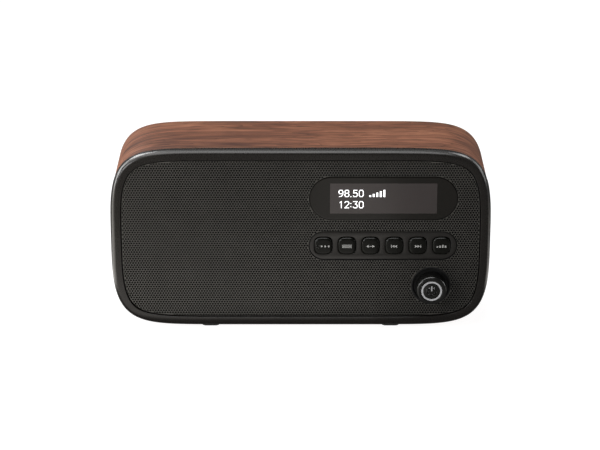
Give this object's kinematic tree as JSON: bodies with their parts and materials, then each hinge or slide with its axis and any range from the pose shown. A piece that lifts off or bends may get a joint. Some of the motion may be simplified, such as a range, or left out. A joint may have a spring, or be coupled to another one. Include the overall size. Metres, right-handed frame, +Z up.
{
  "type": "tabletop radio",
  "caption": "Tabletop digital radio: wood sleeve, rounded black front with perforated grille, display window, button row, knob and a folding telescopic mast.",
  "frame": {"origin": "centre of the object's box in plan, on the surface it stands on", "axes": "+X to the right seen from the front, +Y from the front to the back, +Z up"},
  "size_m": [0.25, 0.0824, 0.1267],
  "materials": {
    "walnut": "satin lacquered veneer",
    "bezel_black": "satin charcoal",
    "inner_black": "matte black moulding",
    "grille_grey": "fine matte charcoal",
    "cloth_black": "woven acoustic cloth",
    "window_black": "polished smoked black",
    "display_grey": "dark display glass",
    "panel_black": "satin charcoal",
    "key_black": "satin black",
    "knob_black": "satin black",
    "badge_grey": "light grey print on black",
    "circuit_green": "solder mask",
    "component_black": "moulded components",
    "tinned_steel": "tinned steel",
    "plain_steel": "plain steel",
    "black_steel": "black screws",
    "ferrite": "sintered ferrite",
    "basket_black": "black paint",
    "cone_paper": "pressed paper cone",
    "surround_rubber": "soft rubber",
    "spider_cloth": "resin-dipped cloth",
    "copper": "enamelled copper",
    "heat_sink_aluminium": "extruded",
    "cover_black": "fine spark-eroded texture",
    "jack_black": "moulded",
    "plate_grey": "blank printed label",
    "foot_rubber": "soft rubber",
    "lead_red": "insulated wire",
    "ribbon_white": "flat cable",
    "mast_chrome": "bright plated"
  },
  "bodies": {
    "cabinet": {"wood_sleeve": "walnut", "front_bezel": "bezel_black", "front_baffle": "inner_black", "grille_panel": "grille_grey", "grille_cloth": "cloth_black", "display_window": "window_black", "display_module": "display_grey", "display_board": "circuit_green", "button_panel": "panel_black", "control_board": "circuit_green", "button_switches": "component_black", "encoder_housing": "tinned_steel", "encoder_nut": "plain_steel", "knob_collar": "inner_black", "speaker_basket": "basket_black", "speaker_magnet": "ferrite", "speaker_yoke": "plain_steel", "speaker_surround": "surround_rubber", "speaker_spider": "spider_cloth", "speaker_screws": "black_steel", "main_board": "circuit_green", "tuner_shield": "tinned_steel", "board_parts": "component_black", "heat_sink": "heat_sink_aluminium", "rear_frame": "cover_black", "rear_panel": "cover_black", "rear_screws": "black_steel", "power_inlet": "jack_black", "headphone_jack": "jack_black", "line_in_jack": "jack_black", "service_port": "tinned_steel", "rating_plate": "plate_grey", "feet": "foot_rubber", "foot_screws": "plain_steel", "board_screws": "plain_steel", "baffle_screws": "black_steel", "speaker_leads": "lead_red", "display_ribbon": "ribbon_white"},
    "moving_cone": {"speaker_cone": "cone_paper", "dust_cap": "cone_paper", "voice_coil": "copper"},
    "mode_key": {"mode_button": "key_black"},
    "menu_key": {"menu_button": "key_black"},
    "scan_key": {"scan_button": "key_black"},
    "previous_key": {"previous_button": "key_black"},
    "next_key": {"next_button": "key_black"},
    "preset_key": {"preset_button": "key_black"},
    "volume_plunger": {"encoder_plunger": "component_black"},
    "volume_knob": {"knob": "knob_black", "knob_badge": "badge_grey", "encoder_shaft": "plain_steel"},
    "mast_base": {"mast_swivel": "mast_chrome", "mast_nut": "plain_steel", "mast_pin": "plain_steel"},
    "mast_section_1": {"mast_tube_1": "mast_chrome"},
    "mast_section_2": {"mast_tube_2": "mast_chrome"},
    "mast_section_3": {"mast_tube_3": "mast_chrome"},
    "mast_section_4": {"mast_tube_4": "mast_chrome"},
    "mast_section_5": {"mast_rod": "mast_chrome"}
  },
  "joints": [
    {"name": "cone_stroke", "type": "slide", "parent": "cabinet", "child": "moving_cone", "axis": [0, 1, 0], "range_m": [-0.0008, 0.0008], "stiffness_N_per_m": 1500, "deforming": ["speaker_surround", "speaker_spider"]},
    {"name": "mode_press", "type": "slide", "parent": "cabinet", "child": "mode_key", "axis": [0, 1, 0], "range_m": [0, 0.0007], "stiffness_N_per_m": 300},
    {"name": "menu_press", "type": "slide", "parent": "cabinet", "child": "menu_key", "axis": [0, 1, 0], "range_m": [0, 0.0007], "stiffness_N_per_m": 300},
    {"name": "scan_press", "type": "slide", "parent": "cabinet", "child": "scan_key", "axis": [0, 1, 0], "range_m": [0, 0.0007], "stiffness_N_per_m": 300},
    {"name": "previous_press", "type": "slide", "parent": "cabinet", "child": "previous_key", "axis": [0, 1, 0], "range_m": [0, 0.0007], "stiffness_N_per_m": 300},
    {"name": "next_press", "type": "slide", "parent": "cabinet", "child": "next_key", "axis": [0, 1, 0], "range_m": [0, 0.0007], "stiffness_N_per_m": 300},
    {"name": "preset_press", "type": "slide", "parent": "cabinet", "child": "preset_key", "axis": [0, 1, 0], "range_m": [0, 0.0007], "stiffness_N_per_m": 300},
    {"name": "volume_push", "type": "slide", "parent": "cabinet", "child": "volume_plunger", "axis": [0, 1, 0], "range_m": [0, 0.0005], "stiffness_N_per_m": 800},
    {"name": "volume_turn", "type": "hinge", "parent": "volume_plunger", "child": "volume_knob", "pos_m": [0.0863, -0.0368, 0.0321], "axis": [0, 1, 0], "continuous": true},
    {"name": "mast_turn", "type": "hinge", "parent": "cabinet", "child": "mast_base", "pos_m": [0.088, 0.0378, 0.1119], "axis": [0, 1, 0], "range_deg": [0, 180]},
    {"name": "mast_tilt", "type": "hinge", "parent": "mast_base", "child": "mast_section_1", "pos_m": [0.088, 0.0378, 0.1119], "axis": [0, 0, -1], "range_deg": [0, 90]},
    {"name": "mast_slide_2", "type": "slide", "parent": "mast_section_1", "child": "mast_section_2", "axis": [-1, 0, 0], "range_m": [0, 0.118]},
    {"name": "mast_slide_3", "type": "slide", "parent": "mast_section_2", "child": "mast_section_3", "axis": [-1, 0, 0], "range_m": [0, 0.118]},
    {"name": "mast_slide_4", "type": "slide", "parent": "mast_section_3", "child": "mast_section_4", "axis": [-1, 0, 0], "range_m": [0, 0.118]},
    {"name": "mast_slide_5", "type": "slide", "parent": "mast_section_4", "child": "mast_section_5", "axis": [-1, 0, 0], "range_m": [0, 0.118]}
  ]
}
